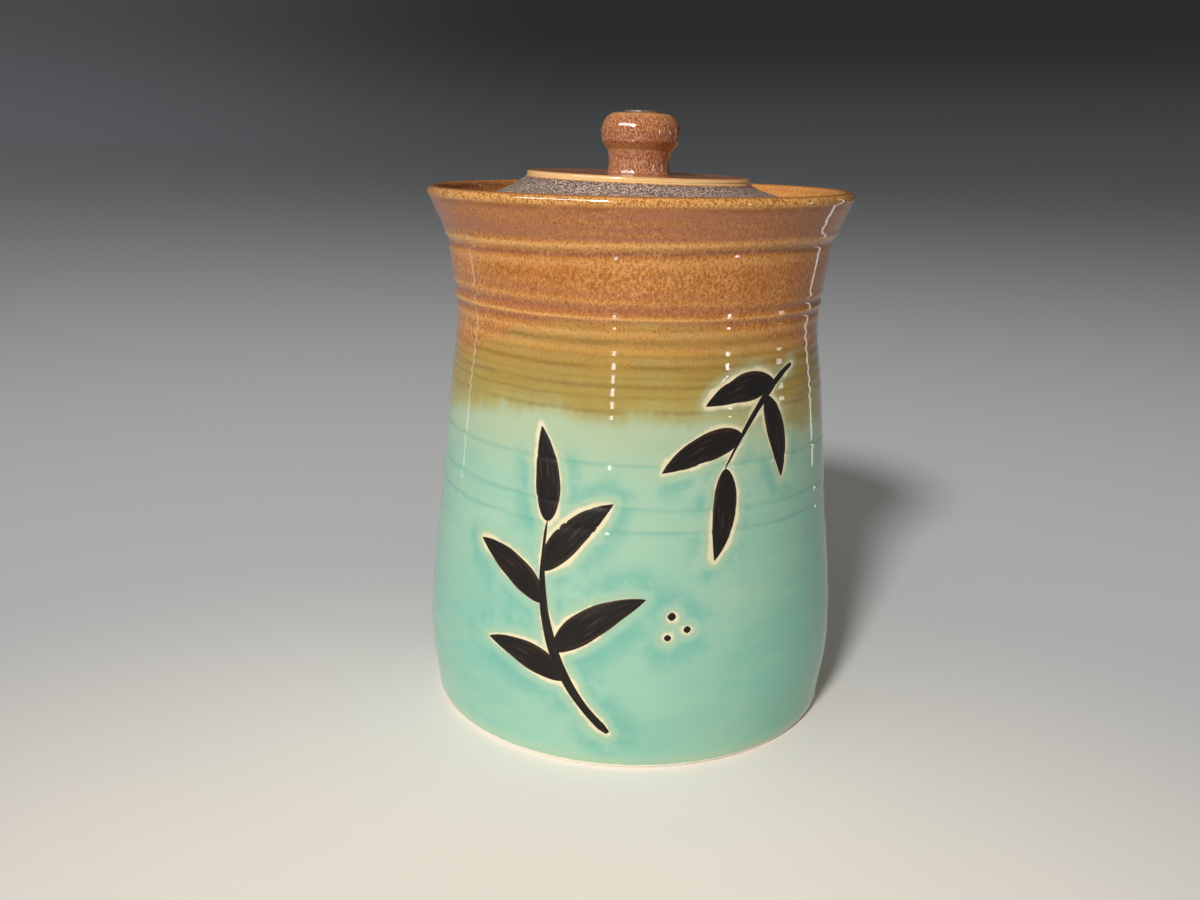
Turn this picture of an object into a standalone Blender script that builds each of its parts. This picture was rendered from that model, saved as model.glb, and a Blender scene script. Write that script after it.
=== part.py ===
"""Wheel-thrown stoneware cookie jar: a flared vessel, a lid that sits on a ledge inside the rim, and its knob.

Metres, +Z up. The origin is the centre of the foot, on the surface that the jar stands on.
The lid and its knob lift straight off along the jar's axis.
"""

import math

import bmesh
import bpy

# Mesh fineness
SEGMENTS = 56
KNOB_SEGMENTS = 32
ROUND_STEPS = 4
WALL_STEPS = 3
INSIDE_STEPS = 7
SHARP_ANGLE = math.radians(38)
WELD = 0.000001

# Gap between pieces that touch
SEAT_GAP = 0.0003

# Foot of the jar
FOOT_RADIUS = 0.0858
FOOT_RING_WIDTH = 0.0140
FOOT_RECESS = 0.0025

# Outer radii of the jar's wall, from the heel up
HEEL_RADIUS = 0.0887
BELLY_RADIUS = 0.0911
MIDDLE_RADIUS = 0.0849
SHOULDER_RADIUS = 0.0804
WAIST_RADIUS = 0.0773
COLLAR_RADIUS = 0.0803
FLARE_FOOT_RADIUS = 0.0809
RIM_RADIUS = 0.0890

# Rise of the wall from each of those levels to the next
HEEL_RISE = 0.0050
BELLY_RISE = 0.0245
MIDDLE_RISE = 0.0689
SHOULDER_RISE = 0.0444
WAIST_RISE = 0.0265
COLLAR_RISE = 0.0277
FLARE_FOOT_RISE = 0.0051
RIM_RISE = 0.0178
LIP_RISE = 0.0026

# Clay of the jar
WALL_THICKNESS = 0.0065
FLOOR_THICKNESS = 0.0075
FLOOR_FILLET = 0.0120
FLARE_THICKNESS = 0.0060
LIP_THICKNESS = 0.0048

# Ledge inside the rim, which carries the lid
LEDGE_DEPTH = 0.0130
LEDGE_WIDTH = 0.0094
LEDGE_THICKNESS = 0.0045
LEDGE_BRACE_RISE = 0.0080
LEDGE_NOSE_SHARE = 0.5

# Shallow grooves left by the thrower's fingers, at shares of the jar's height
GROOVE_DEPTH = 0.0005
GROOVE_WIDTH = 0.0036
GROOVE_LEVEL_SHARES = (0.442, 0.483, 0.557)

# Lid
LID_SIDE_CLEARANCE = 0.0019
BRIM_THICKNESS = 0.0068
BRIM_WIDTH = 0.0045
DISC_RADIUS = 0.0467
DISC_EDGE_THICKNESS = 0.0024
DISC_RISE = 0.0114
SKIRT_BEND_RUN_SHARE = 0.17
SKIRT_BEND_DROP_SHARE = 0.43
LID_SEAT_WIDTH = 0.0100
LID_HOLLOW_DEPTH = 0.0098
LID_HOLLOW_FLAT_RADIUS = 0.0360
LID_HOLLOW_BEND_SHARE = 0.40

# Knob
KNOB_SOCKET_DEPTH = 0.0020
KNOB_FOOT_RADIUS = 0.0133
KNOB_WAIST_RADIUS = 0.0128
KNOB_NECK_RADIUS = 0.0144
KNOB_BULB_RADIUS = 0.0167
KNOB_TOP_RADIUS = 0.0086
KNOB_WAIST_RISE = 0.0040
KNOB_NECK_RISE = 0.0062
KNOB_BULB_RISE = 0.0061
KNOB_TOP_RISE = 0.0080
BUTTON_RADIUS = 0.0069
BUTTON_RISE = 0.0012
BUTTON_ROUND = 0.0005

# Colours of the glazes and of the bare clay
RUST_GLAZE = (0.36, 0.16, 0.07, 1)
VIOLET_GREY_GLAZE = (0.14, 0.12, 0.13, 1)
MAUVE_GLAZE = (0.30, 0.15, 0.10, 1)
GLAZE_ROUGHNESS = 0.22
MATT_ROUGHNESS = 0.60

# Levels that follow from the rises
HEEL_LEVEL = HEEL_RISE
BELLY_LEVEL = HEEL_LEVEL + BELLY_RISE
MIDDLE_LEVEL = BELLY_LEVEL + MIDDLE_RISE
SHOULDER_LEVEL = MIDDLE_LEVEL + SHOULDER_RISE
WAIST_LEVEL = SHOULDER_LEVEL + WAIST_RISE
COLLAR_LEVEL = WAIST_LEVEL + COLLAR_RISE
FLARE_FOOT_LEVEL = COLLAR_LEVEL + FLARE_FOOT_RISE
RIM_LEVEL = FLARE_FOOT_LEVEL + RIM_RISE
JAR_HEIGHT = RIM_LEVEL + LIP_RISE
FLOOR_LEVEL = FOOT_RECESS + FLOOR_THICKNESS
LEDGE_LEVEL = JAR_HEIGHT - LEDGE_DEPTH

WALL_STATIONS = (
    (HEEL_LEVEL, HEEL_RADIUS),
    (BELLY_LEVEL, BELLY_RADIUS),
    (MIDDLE_LEVEL, MIDDLE_RADIUS),
    (SHOULDER_LEVEL, SHOULDER_RADIUS),
    (WAIST_LEVEL, WAIST_RADIUS),
    (COLLAR_LEVEL, COLLAR_RADIUS),
    (FLARE_FOOT_LEVEL, FLARE_FOOT_RADIUS),
)


def clear_scene():
    for thing in list(bpy.data.objects):
        bpy.data.objects.remove(thing)


def steepness(low, high):
    return (high[1] - low[1]) / (high[0] - low[0])


def station_slopes(stations):
    """Slope at each (level, radius) station, level at every turning point so that the curve never overshoots."""
    rises = [steepness(low, high) for low, high in zip(stations, stations[1:])]
    slopes = [rises[0]]
    for below, above in zip(rises, rises[1:]):
        turning = below * above <= 0
        slopes.append(0 if turning else 2 * below * above / (below + above))
    slopes.append(rises[-1])
    return slopes


def smooth_radius(stations, level):
    """Radius at a level on the smooth curve through the (level, radius) stations."""
    slopes = station_slopes(stations)
    index = 0
    while index < len(stations) - 2 and level > stations[index + 1][0]:
        index += 1
    low, high = stations[index], stations[index + 1]
    span = high[0] - low[0]
    t = (level - low[0]) / span
    lower = (1 + 2 * t) * (1 - t) ** 2 * low[1] + t * (1 - t) ** 2 * span * slopes[index]
    upper = t**2 * (3 - 2 * t) * high[1] + t**2 * (t - 1) * span * slopes[index + 1]
    return lower + upper


def wall_radius(level):
    """Outer radius of the jar, up its smooth wall and then up the straight flare of its rim."""
    if level <= FLARE_FOOT_LEVEL:
        return smooth_radius(WALL_STATIONS, level)
    share = (level - FLARE_FOOT_LEVEL) / RIM_RISE
    return FLARE_FOOT_RADIUS + share * (RIM_RADIUS - FLARE_FOOT_RADIUS)


def spread(start, end, steps):
    return [start + (end - start) * step / steps for step in range(steps + 1)]


def arc(centre, radii, angles, steps=ROUND_STEPS):
    """Points of an elliptical arc, as (radius, height), with both ends."""
    turns = spread(math.radians(angles[0]), math.radians(angles[1]), steps)
    return [(centre[0] + radii[0] * math.cos(a), centre[1] + radii[1] * math.sin(a)) for a in turns]


def bend(start, corner, end, steps):
    """Points of a smooth bend that leaves start and reaches end along the lines to corner."""
    points = []
    for t in spread(0, 1, steps):
        weights = ((1 - t) ** 2, 2 * t * (1 - t), t**2)
        points.append(tuple(sum(w * p[i] for w, p in zip(weights, (start, corner, end))) for i in (0, 1)))
    return points


def between(start, end, share):
    return start + (end - start) * share


def glaze(name, colour, roughness):
    material = bpy.data.materials.new(name)
    material.use_nodes = True
    shader = material.node_tree.nodes["Principled BSDF"]
    shader.inputs["Base Color"].default_value = colour
    shader.inputs["Roughness"].default_value = roughness
    shader.inputs["Metallic"].default_value = 0
    return material


def turned(name, outline, segments, material):
    """Solid turned about Z from an outline of (radius, height) points that starts and ends on the axis."""
    shape = bmesh.new()
    corners = [shape.verts.new((radius, 0, height)) for radius, height in outline]
    edges = [shape.edges.new(pair) for pair in zip(corners, corners[1:])]
    bmesh.ops.spin(
        shape,
        geom=corners + edges,
        cent=(0, 0, 0),
        axis=(0, 0, 1),
        angle=math.tau,
        steps=segments,
        use_merge=True,
    )
    bmesh.ops.remove_doubles(shape, verts=shape.verts, dist=WELD)
    bmesh.ops.recalc_face_normals(shape, faces=shape.faces)
    mesh = bpy.data.meshes.new(name)
    shape.to_mesh(mesh)
    shape.free()
    mesh.shade_smooth()
    mesh.set_sharp_from_angle(angle=SHARP_ANGLE)
    mesh.materials.append(material)
    piece = bpy.data.objects.new(name, mesh)
    bpy.context.scene.collection.objects.link(piece)
    return piece


def outer_wall():
    """Points up the outside of the jar from the heel to the foot of the flare, with the thrown grooves."""
    grooves = [share * JAR_HEIGHT for share in GROOVE_LEVEL_SHARES]
    levels = [HEEL_LEVEL]
    for low, high in zip(WALL_STATIONS, WALL_STATIONS[1:]):
        levels += spread(low[0], high[0], WALL_STEPS)[1:]
    clear = [level for level in levels if all(abs(level - groove) > GROOVE_WIDTH for groove in grooves)]
    points = [(wall_radius(level), level) for level in clear]
    for groove in grooves:
        for side in (-1, 0, 1):
            level = groove + side * GROOVE_WIDTH / 2
            depth = 0 if side else GROOVE_DEPTH
            points.append((wall_radius(level) - depth, level))
    return sorted(points, key=lambda point: point[1])


def inner_rim(ledge_radius, mouth_radius):
    """Points from the lip down the inside of the flare, over the ledge and under it to the wall."""
    nose = LEDGE_THICKNESS * LEDGE_NOSE_SHARE
    brace_level = LEDGE_LEVEL - LEDGE_THICKNESS - LEDGE_BRACE_RISE
    points = [(ledge_radius, LEDGE_LEVEL)]
    points += arc((mouth_radius + nose, LEDGE_LEVEL - nose), (nose, nose), (90, 180))
    points.append((mouth_radius, LEDGE_LEVEL - LEDGE_THICKNESS))
    points.append((wall_radius(brace_level) - WALL_THICKNESS, brace_level))
    return points


def inner_wall():
    """Points down the inside of the jar from under the ledge to the middle of the floor."""
    top = LEDGE_LEVEL - LEDGE_THICKNESS - LEDGE_BRACE_RISE
    bottom = FLOOR_LEVEL + FLOOR_FILLET
    levels = spread(top, bottom, INSIDE_STEPS)[1:]
    points = [(wall_radius(level) - WALL_THICKNESS, level) for level in levels]
    centre = (points[-1][0] - FLOOR_FILLET, bottom)
    points += arc(centre, (FLOOR_FILLET, FLOOR_FILLET), (0, -90))[1:]
    points.append((0, FLOOR_LEVEL))
    return points


def ledge_outer_radius():
    return wall_radius(LEDGE_LEVEL) - FLARE_THICKNESS


def make_jar():
    foot_inner = FOOT_RADIUS - FOOT_RING_WIDTH
    outline = [(0, FOOT_RECESS), (foot_inner - FOOT_RECESS, FOOT_RECESS), (foot_inner, 0)]
    outline += arc((FOOT_RADIUS, HEEL_RISE), (HEEL_RADIUS - FOOT_RADIUS, HEEL_RISE), (-90, 0))[:-1]
    outline += outer_wall()
    lip_centre = (RIM_RADIUS - LIP_THICKNESS / 2, RIM_LEVEL)
    outline += arc(lip_centre, (LIP_THICKNESS / 2, LIP_RISE), (0, 180), 2 * ROUND_STEPS)
    ledge_radius = ledge_outer_radius()
    outline += inner_rim(ledge_radius, ledge_radius - LEDGE_WIDTH)
    outline += inner_wall()
    return turned("jar_body", outline, SEGMENTS, glaze("Rust and celadon glaze", RUST_GLAZE, GLAZE_ROUGHNESS))


def make_lid(carrier):
    """The lid's heights are measured from its seat, the flat under its brim."""
    radius = ledge_outer_radius() - LID_SIDE_CLEARANCE
    brim_round = BRIM_THICKNESS / 2
    edge_round = DISC_EDGE_THICKNESS / 2
    disc_top = BRIM_THICKNESS + DISC_RISE
    socket_radius = KNOB_FOOT_RADIUS + SEAT_GAP
    socket_floor = disc_top - KNOB_SOCKET_DEPTH
    skirt_start = (DISC_RADIUS - edge_round, disc_top - DISC_EDGE_THICKNESS)
    skirt_end = (radius - BRIM_WIDTH, BRIM_THICKNESS)
    skirt_corner = (
        between(skirt_start[0], skirt_end[0], SKIRT_BEND_RUN_SHARE),
        between(skirt_start[1], skirt_end[1], SKIRT_BEND_DROP_SHARE),
    )
    hollow_start = (radius - LID_SEAT_WIDTH, 0)
    hollow_end = (LID_HOLLOW_FLAT_RADIUS, LID_HOLLOW_DEPTH)
    hollow_corner = (between(hollow_start[0], hollow_end[0], LID_HOLLOW_BEND_SHARE), LID_HOLLOW_DEPTH)
    outline = [(0, socket_floor), (socket_radius, socket_floor), (socket_radius, disc_top)]
    edge_centre = (DISC_RADIUS - edge_round, disc_top - edge_round)
    outline += arc(edge_centre, (edge_round, edge_round), (90, -90))
    outline += bend(skirt_start, skirt_corner, skirt_end, 2 * ROUND_STEPS)[1:]
    outline += arc((radius - brim_round, brim_round), (brim_round, brim_round), (90, -90))
    outline += bend(hollow_start, hollow_corner, hollow_end, ROUND_STEPS)
    outline.append((0, LID_HOLLOW_DEPTH))
    lid = turned("lid", outline, SEGMENTS, glaze("Violet grey matt glaze", VIOLET_GREY_GLAZE, MATT_ROUGHNESS))
    lid.parent = carrier
    return disc_top


def make_knob(carrier, disc_top):
    """The knob's foot stands in the shallow socket of the lid, and its heights are measured from the foot."""
    disc_level = KNOB_SOCKET_DEPTH - SEAT_GAP
    waist_level = disc_level + KNOB_WAIST_RISE
    neck_level = waist_level + KNOB_NECK_RISE
    bulb_level = neck_level + KNOB_BULB_RISE
    top_level = bulb_level + KNOB_TOP_RISE
    button_top = top_level + BUTTON_RISE
    stations = (
        (disc_level, KNOB_FOOT_RADIUS),
        (waist_level, KNOB_WAIST_RADIUS),
        (neck_level, KNOB_NECK_RADIUS),
        (bulb_level, KNOB_BULB_RADIUS),
    )
    levels = spread(disc_level, bulb_level, 2 * ROUND_STEPS)
    outline = [(0, 0), (KNOB_FOOT_RADIUS, 0)]
    outline += [(smooth_radius(stations, level), level) for level in levels]
    shoulder = (KNOB_BULB_RADIUS - KNOB_TOP_RADIUS, KNOB_TOP_RISE)
    outline += arc((KNOB_TOP_RADIUS, bulb_level), shoulder, (0, 90))[1:]
    outline.append((BUTTON_RADIUS, top_level))
    button_centre = (BUTTON_RADIUS - BUTTON_ROUND, button_top - BUTTON_ROUND)
    outline += arc(button_centre, (BUTTON_ROUND, BUTTON_ROUND), (0, 90), 2)
    outline.append((0, button_top))
    knob = turned("lid_knob", outline, KNOB_SEGMENTS, glaze("Mauve glaze", MAUVE_GLAZE, GLAZE_ROUGHNESS))
    knob.parent = carrier
    knob.location.z = disc_top - disc_level


def make_lid_carrier():
    """Empty on the jar's axis at the lid's seat, which lifts the lid and its knob together."""
    carrier = bpy.data.objects.new("lid_lift", None)
    carrier.location.z = LEDGE_LEVEL + SEAT_GAP
    bpy.context.scene.collection.objects.link(carrier)
    return carrier


def main():
    clear_scene()
    make_jar()
    carrier = make_lid_carrier()
    disc_top = make_lid(carrier)
    make_knob(carrier, disc_top)


main()
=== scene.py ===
"""Wheel-thrown stoneware cookie jar: vessel, lid and knob under run glazes, painted sprays, plain studio."""

import math

import bmesh
import bpy
import numpy as np
from bpy.props import FloatProperty, FloatVectorProperty, PointerProperty
from bpy.types import Operator, Panel, PropertyGroup
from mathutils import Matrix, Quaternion, Vector, noise


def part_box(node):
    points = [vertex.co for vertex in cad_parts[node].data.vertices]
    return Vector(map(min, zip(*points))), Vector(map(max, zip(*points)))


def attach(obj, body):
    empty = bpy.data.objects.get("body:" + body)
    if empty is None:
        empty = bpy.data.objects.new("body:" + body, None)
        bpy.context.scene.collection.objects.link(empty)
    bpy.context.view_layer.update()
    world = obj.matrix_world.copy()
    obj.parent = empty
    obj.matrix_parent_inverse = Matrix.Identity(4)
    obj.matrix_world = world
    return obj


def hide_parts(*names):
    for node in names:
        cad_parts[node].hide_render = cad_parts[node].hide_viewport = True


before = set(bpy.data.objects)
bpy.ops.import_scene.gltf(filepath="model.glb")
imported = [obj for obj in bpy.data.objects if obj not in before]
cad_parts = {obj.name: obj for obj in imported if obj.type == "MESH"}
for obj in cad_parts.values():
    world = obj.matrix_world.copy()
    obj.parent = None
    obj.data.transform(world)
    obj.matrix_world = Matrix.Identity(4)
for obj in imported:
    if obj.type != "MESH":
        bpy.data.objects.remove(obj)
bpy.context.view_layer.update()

bl_info = {
    "name": "Stoneware cookie jar",
    "version": (1, 0, 0),
    "blender": (4, 5, 0),
    "location": "3D View > Sidebar > Jar",
    "description": "Throws, glazes and paints a lidded stoneware jar over its solid model",
    "category": "Object",
}

JAR_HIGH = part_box("jar_body")[1]
LID_LOW, LID_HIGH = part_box("lid")
KNOB_LOW, KNOB_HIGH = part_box("lid_knob")

MM = 0.001
FAR_GAP = 40 * MM
WELD = 0.001 * MM
SMOOTH_ANGLE = math.radians(50)

# The thrower's marks, in millimetres. Each ring has a level, a tilt that it gains from the left side to the
# right, a half width and a height, which is negative in a groove.
RIDGES = (
    (204.8, 1.5, 1.2, 0.45),
    (184.1, -1.2, 0.9, 0.20),
    (178.2, -0.5, 0.8, 0.38),
    (172.6, -0.5, 1.2, 0.10),
)
GROOVES = (
    (201.6, 1.8, 1.1, -0.34),
    (181.3, -0.9, 1.1, -0.28),
    (175.8, -0.5, 1.1, -0.26),
)
PALE_GROOVES = (
    (124.0, -1.6, 0.9, -0.28),
    (107.5, -3.0, 0.9, -0.30),
    (98.6, -2.1, 0.9, -0.30),
)
# Finger rings, in millimetres: lowest level, highest level, rise between rings and height
FINGER_BANDS = (
    (139, 172, 4.8, 0.095),
    (24, 96, 15, 0.09),
    (208, 218, 5.0, 0.05),
)
FINGER_TILT = -1.2
WOBBLE = 0.20 * MM
WOBBLE_SCALE = 14

# Bands of colour that the glazes keep to the throwing marks: level, tilt and half width in millimetres,
# strength, and how much weaker it gets towards the right
GOLD_BANDS = (
    (204.7, 1.5, 1.25, 1.25, 0.4),
    (198.6, 1.3, 1.9, 0.50, 0.3),
    (184.1, -1.2, 1.0, 0.50, 0.9),
    (178.2, -0.5, 0.7, 1.00, 0.4),
    (172.7, -0.5, 1.2, 0.55, 0.2),
    (166.6, -0.7, 1.3, 0.40, 0.2),
)
PLUM_BANDS = (
    (201.6, 1.8, 1.0, 0.75, 0.3),
    (181.2, -0.9, 0.9, 0.45, 0.6),
    (175.9, -0.5, 1.0, 0.50, 0.5),
)
MAUVE_BANDS = (
    (187.0, -1.8, 1.6, 0.65, 0.9),
    (181.0, -0.9, 2.2, 0.80, 0.5),
    (176.0, -0.5, 2.0, 0.45, 0.4),
)
UMBER_BANDS = (
    (174.2, -0.5, 0.6, 0.45, 0.3),
    (169.5, -0.6, 1.0, 0.80, 0.1),
    (164.3, -0.7, 0.5, 0.35, 0.2),
    (160.4, -0.8, 1.0, 0.65, -0.2),
    (156.4, -0.9, 0.5, 0.35, 0.0),
    (153.3, -1.0, 0.9, 0.60, 0.0),
    (149.3, -1.0, 0.6, 0.45, 0.0),
    (144.0, -1.0, 0.8, 0.50, -0.2),
)
POOL_WIDTH, POOL_STRENGTH, POOL_FADE = 0.85, 0.55, 0.2

# Levels between which one glaze gives way to the next, in millimetres
FLARE_START = (205.5, 208)
FLARE_END = (217.8, 219.2)
LIP_START = (218.4, 219.6)
UPPER_GLAZE_EDGE = (173, 181)
TAN_START = (151, 170)
OLIVE_START = (139, 150)
LOWER_GLAZE_EDGE = (136.5, 145)
PALE_START = (112, 136)

# Values of the clay_side attribute between which the inside and, on the vessel, its liner glaze start
INSIDE_START = (0.3, 0.7)
LINER_START = (1.3, 1.7)

# Rows of the wall's mesh, in millimetres: from each level up, the distance between rows
ROW_STEPS = (
    (5, 1.3),
    (93, 0.7),
    (130, 0.9),
    (174, 0.5),
    (187, 1.2),
    (197, 0.5),
    (208, 1.2),
)
LIP_STEPS = 16
FRONT_SPAN = math.radians(150)
BACK_SPAN = math.tau - FRONT_SPAN
FRONT_STEPS, BACK_STEPS = 140, 80
LID_STEPS, KNOB_STEPS = 180, 120
FRONT_MAP_SHARE = 0.56
OUTER_MAP_SHARE = 0.84
FOOT_MAP_SHARE = 0.2
MAP_MARGIN = 0.004

# The hand-made disc and knob lean to the right and sit a little to the left
LID_LEAN = math.radians(1.4)
LID_SHIFT = 0.9 * MM
LID_WOBBLE, LID_WOBBLE_SCALE = 0.12 * MM, 30
SKIRT_RISE = 9 * MM
KNOB_SWELL, KNOB_SWELL_SCALE = 0.008, 55
KNOB_DROP = 0.22 * MM
# The knob's waist, from its foot to the bulb, in millimetres: level above the disc and radius
KNOB_WAIST = (
    (1.2, 13.05),
    (4.0, 12.75),
    (9.0, 13.6),
    (11.3, 15.0),
    (13.4, 16.3),
)
BULB_RISE = 16.3 * MM
NECK_RISE, NECK_GROOVE, NECK_WIDTH = 10.0 * MM, 0.20 * MM, 0.7 * MM

# Where the tent is brightest, from the jar, and the tent's colours at the left and the right
KEY_DIRECTION = (-0.30, -0.80, 0.45)
LEFT_LIGHT = (1.0, 0.99, 0.97)
RIGHT_LIGHT = (0.70, 0.55, 0.42)
FILL_STRENGTH = 0.075
# The soft sun that casts the shadow: where it stands, from the jar, and its angle across
SUN_PLACE = (-0.788, -1.903, 1.39)
SUN_SPREAD = math.radians(9)
# Narrow lamps whose reflections draw the lines and glints on the glaze: place, size and brightness
MIRRORED_LAMPS = (
    ("right edge strip", (0.447, 0.290, 0.1925), (0.018, 0.375), 2.4),
    ("left edge strip", (-0.504, 0.194, 0.19), (0.014, 0.38), 1.6),
    ("front glint", (-0.29, -1.30, 0.33), (0.038, 0.34), 15.0),
    ("right glint", (1.08, -0.75, 0.33), (0.045, 0.34), 20.0),
    ("far right glint", (1.29, 0.10, 0.30), (0.11, 0.30), 5.0),
    ("roof strip", (-0.80, -0.80, 1.05), (1.2, 0.30), 15.0),
)
MIRROR_TARGET = (0, 0, 0.16)
# Painted pool of light on the floor: its brightest spot, its reach, and how fast painted shade deepens
# beyond it
LIGHT_POOL_CENTRE = (-0.04, -0.30, 0)
LIGHT_POOL_REACH = (0.11, 0.46)
PAINTED_FALLOFF = 0.54
TABLE_RADIUS = 30.0
# Shares towards +X between which the backdrop and the far floor leave their left colours
LEFT_END = (-0.55, -0.05)
SENSOR_WIDTH = 36
NEAREST_SEEN = 0.02

# Painted sprays: places are distances round the wall from the front, and levels
PAINT_RADIUS = 86.5 * MM
STROKE_LIFT = 0.20 * MM
STROKE_SINK = 0.03 * MM
STROKE_THICKNESS = 0.3 * MM
STROKE_STEP = 0.7 * MM
STROKE_ROWS = 8
HAND_SHARE, HAND_SCALE = 0.07, 900

# Sizes of the thrown vessel, in millimetres
VESSEL_SIZES = {
    "foot_radius": ("Outside of the foot ring", 85.8),
    "foot_ring": ("Width of the flat ring that the jar stands on", 14),
    "foot_recess": ("Depth of the hollow inside the foot ring", 2.5),
    "heel_radius": ("Wall above the rounded heel", 88.7),
    "belly_radius": ("Widest part of the wall", JAR_HIGH.x / MM),
    "middle_radius": ("Wall halfway up", 84.9),
    "shoulder_radius": ("Wall under the waist", 80.4),
    "waist_radius": ("Narrowest part of the wall", 77.3),
    "collar_radius": ("Wall under the flare", 80.3),
    "flare_foot_radius": ("Start of the flared rim", 80.9),
    "rim_radius": ("Outside of the lip", 89.0),
    "heel_level": ("Top of the rounded heel", 5.0),
    "belly_level": ("Height of the widest part", 29.5),
    "middle_level": ("Height of the middle radius", 98.4),
    "shoulder_level": ("Height of the shoulder radius", 142.8),
    "waist_level": ("Height of the narrowest part", 169.3),
    "collar_level": ("Height of the collar radius", 197.0),
    "flare_foot_level": ("Where the rim starts to flare", 202.1),
    "rim_level": ("Height of the widest part of the lip", 219.9),
    "height": ("Top of the lip", JAR_HIGH.z / MM),
    "wall": ("Thickness of the wall", 6.5),
    "floor_level": ("Inside floor above the table", 10),
    "floor_fillet": ("Round between the floor and the wall", 12),
    "flare_wall": ("Thickness of the flare at the ledge", 6),
    "lip_wall": ("Thickness of the lip", 4.8),
    "ledge_depth": ("Ledge below the lip", 13),
    "ledge_width": ("Width of the ledge that carries the lid", 9.4),
    "ledge_thickness": ("Clay at the ledge's nose", 4.5),
    "ledge_brace": ("Rise of the slope under the ledge", 8),
}
# Sizes of the lid and its knob, in millimetres
LID_SIZES = {
    "disc_radius": ("Outside of the raised disc", 46.7),
    "disc_edge": ("Round of the disc's edge", 1.2),
    "dish_radius": ("Flat part of the disc's top", 40),
    "dish_depth": ("Flat part below the disc's edge", 0.35),
    "socket_radius": ("Socket that holds the knob's foot", 13.6),
    "brim": ("Half the thickness of the brim", 3.4),
    "seat_width": ("Flat ring that rests on the ledge", 10),
    "hollow_depth": ("Hollow under the lid", 9.8),
    "hollow_radius": ("Flat part of the hollow", 36),
    "knob_foot": ("Radius of the knob's foot in its socket", 13.3),
    "bulb_radius": ("Widest part of the knob", 16.7),
    "button_radius": ("Flat button on top of the knob", 7.3),
}
# Colours of the glazes, slips and clay, in display values from 0 to 255
GLAZE_COLOURS = {
    "gold": ("Glaze where it breaks over an edge", 234, 173, 100),
    "rust": ("Upper glaze", 182, 108, 38),
    "mauve": ("Veil over the upper glaze", 180, 115, 77),
    # plum and amber also paint the shade inside the flare at the left
    "plum": ("Upper glaze pooled in a groove", 140, 80, 66),
    "amber": ("Upper glaze pooled under the lip", 152, 94, 34),
    "freckle": ("Iron specks in the upper glaze", 112, 58, 26),
    "tan": ("Where the two glazes start to mix", 192, 146, 72),
    "olive": ("The mixed glazes", 172, 148, 78),
    "reed": ("The mixed glazes at their lower edge", 174, 164, 98),
    "umber": ("The mixed glazes pooled between rings", 132, 98, 42),
    "pale": ("Lower glaze just under the mixed band", 178, 194, 158),
    "celadon": ("Lower glaze where it is thin", 164, 200, 172),
    # turquoise also paints shade at the right of the lower wall
    "turquoise": ("Lower glaze where it is thick", 130, 188, 167),
    "pool": ("Lower glaze pooled in grooves and round the sprays", 96, 172, 156),
    "halo": ("Bare slip line round each painted stroke", 240, 224, 184),
    "clay": ("Bare fired clay", 246, 238, 220),
    "ink": ("Black slip of the sprays", 14, 11, 7),
    "thin_ink": ("Black slip where the brush was dry", 78, 48, 28),
    "skirt": ("Matt glaze of the lid's skirt", 140, 118, 108),
    "dark_skirt": ("Dark grains in the matt glaze", 50, 40, 42),
    "light_skirt": ("Light grains in the matt glaze", 234, 206, 182),
    # cream is the glaze on the disc's edge, with a painted highlight along it
    "cream": ("Glaze on the edge of the lid's disc", 255, 214, 150),
}


def number(name, description, default, **more):
    return FloatProperty(name=name, description=description, default=default, **more)


def length(name, description, default):
    """Length whose default is written in millimetres."""
    return number(name, description, default * MM, min=0, unit="LENGTH")


def degrees(name, description, default):
    return number(name, description, math.radians(default), subtype="ANGLE")


def linear(part):
    share = part / 255
    return share / 12.92 if share <= 0.04045 else ((share + 0.055) / 1.055) ** 2.4


def colour(name, description, *parts):
    """Colour whose default is written in display values from 0 to 255."""
    limits = {"min": 0, "max": 1, "default": [linear(part) for part in parts]}
    return FloatVectorProperty(name=name, description=description, subtype="COLOR", size=3, **limits)


def titled(kind, table):
    """Settings of one kind from a table, each titled after its own name."""
    return {name: kind(name.replace("_", " ").capitalize(), *about) for name, about in table.items()}


class VesselSizes(PropertyGroup):
    """Sizes of the thrown vessel."""

    __annotations__ = titled(length, VESSEL_SIZES)


class LidSizes(PropertyGroup):
    """Sizes of the lid and its knob."""

    __annotations__ = titled(length, LID_SIZES)


class GlazeColours(PropertyGroup):
    """Colours of the glazes, slips and clay."""

    __annotations__ = titled(colour, GLAZE_COLOURS)


class StudioSettings(PropertyGroup):
    """Camera and light."""

    distance: length("Distance", "Camera to the jar's axis, level", 475.8)
    camera_height: length("Camera height", "Above the table", 240.3)
    pitch: degrees("Pitch", "Camera tilted down", 15.63)
    yaw: degrees("Yaw", "Camera turned left", 1.81)
    roll: degrees("Roll", "Camera rolled left", 1.0)
    lens: number("Lens", "Focal length in millimetres on a 36 mm sensor", 33.0)
    table: colour("Table", "Plain pale floor in front of the jar", 251, 243, 231)
    # The middle, far and left table colours paint the floor's fall-off of light, as painted shade
    mid_table: colour("Middle table", "Floor beside and behind the jar", 200, 201, 202)
    far_table: colour("Far table", "Floor at the horizon", 79, 81, 83)
    left_table: colour("Left table", "Floor at the horizon, at the left", 97, 99, 102)
    horizon: colour("Horizon", "Backdrop at the horizon", 72, 73, 74)
    sky: colour("Sky", "Backdrop above the jar", 42, 42, 42)
    left_sky: colour("Left sky", "Backdrop at the left", 89, 90, 93)
    key_strength: number("Key strength", "Light of the bright side of the tent", 0.15)
    top_strength: number("Top strength", "Light of the tent's roof", 0.30)
    sun_strength: number("Sun strength", "Light of the soft sun", 2.82)


def steepness(low, high):
    return (high[1] - low[1]) / (high[0] - low[0])


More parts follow.
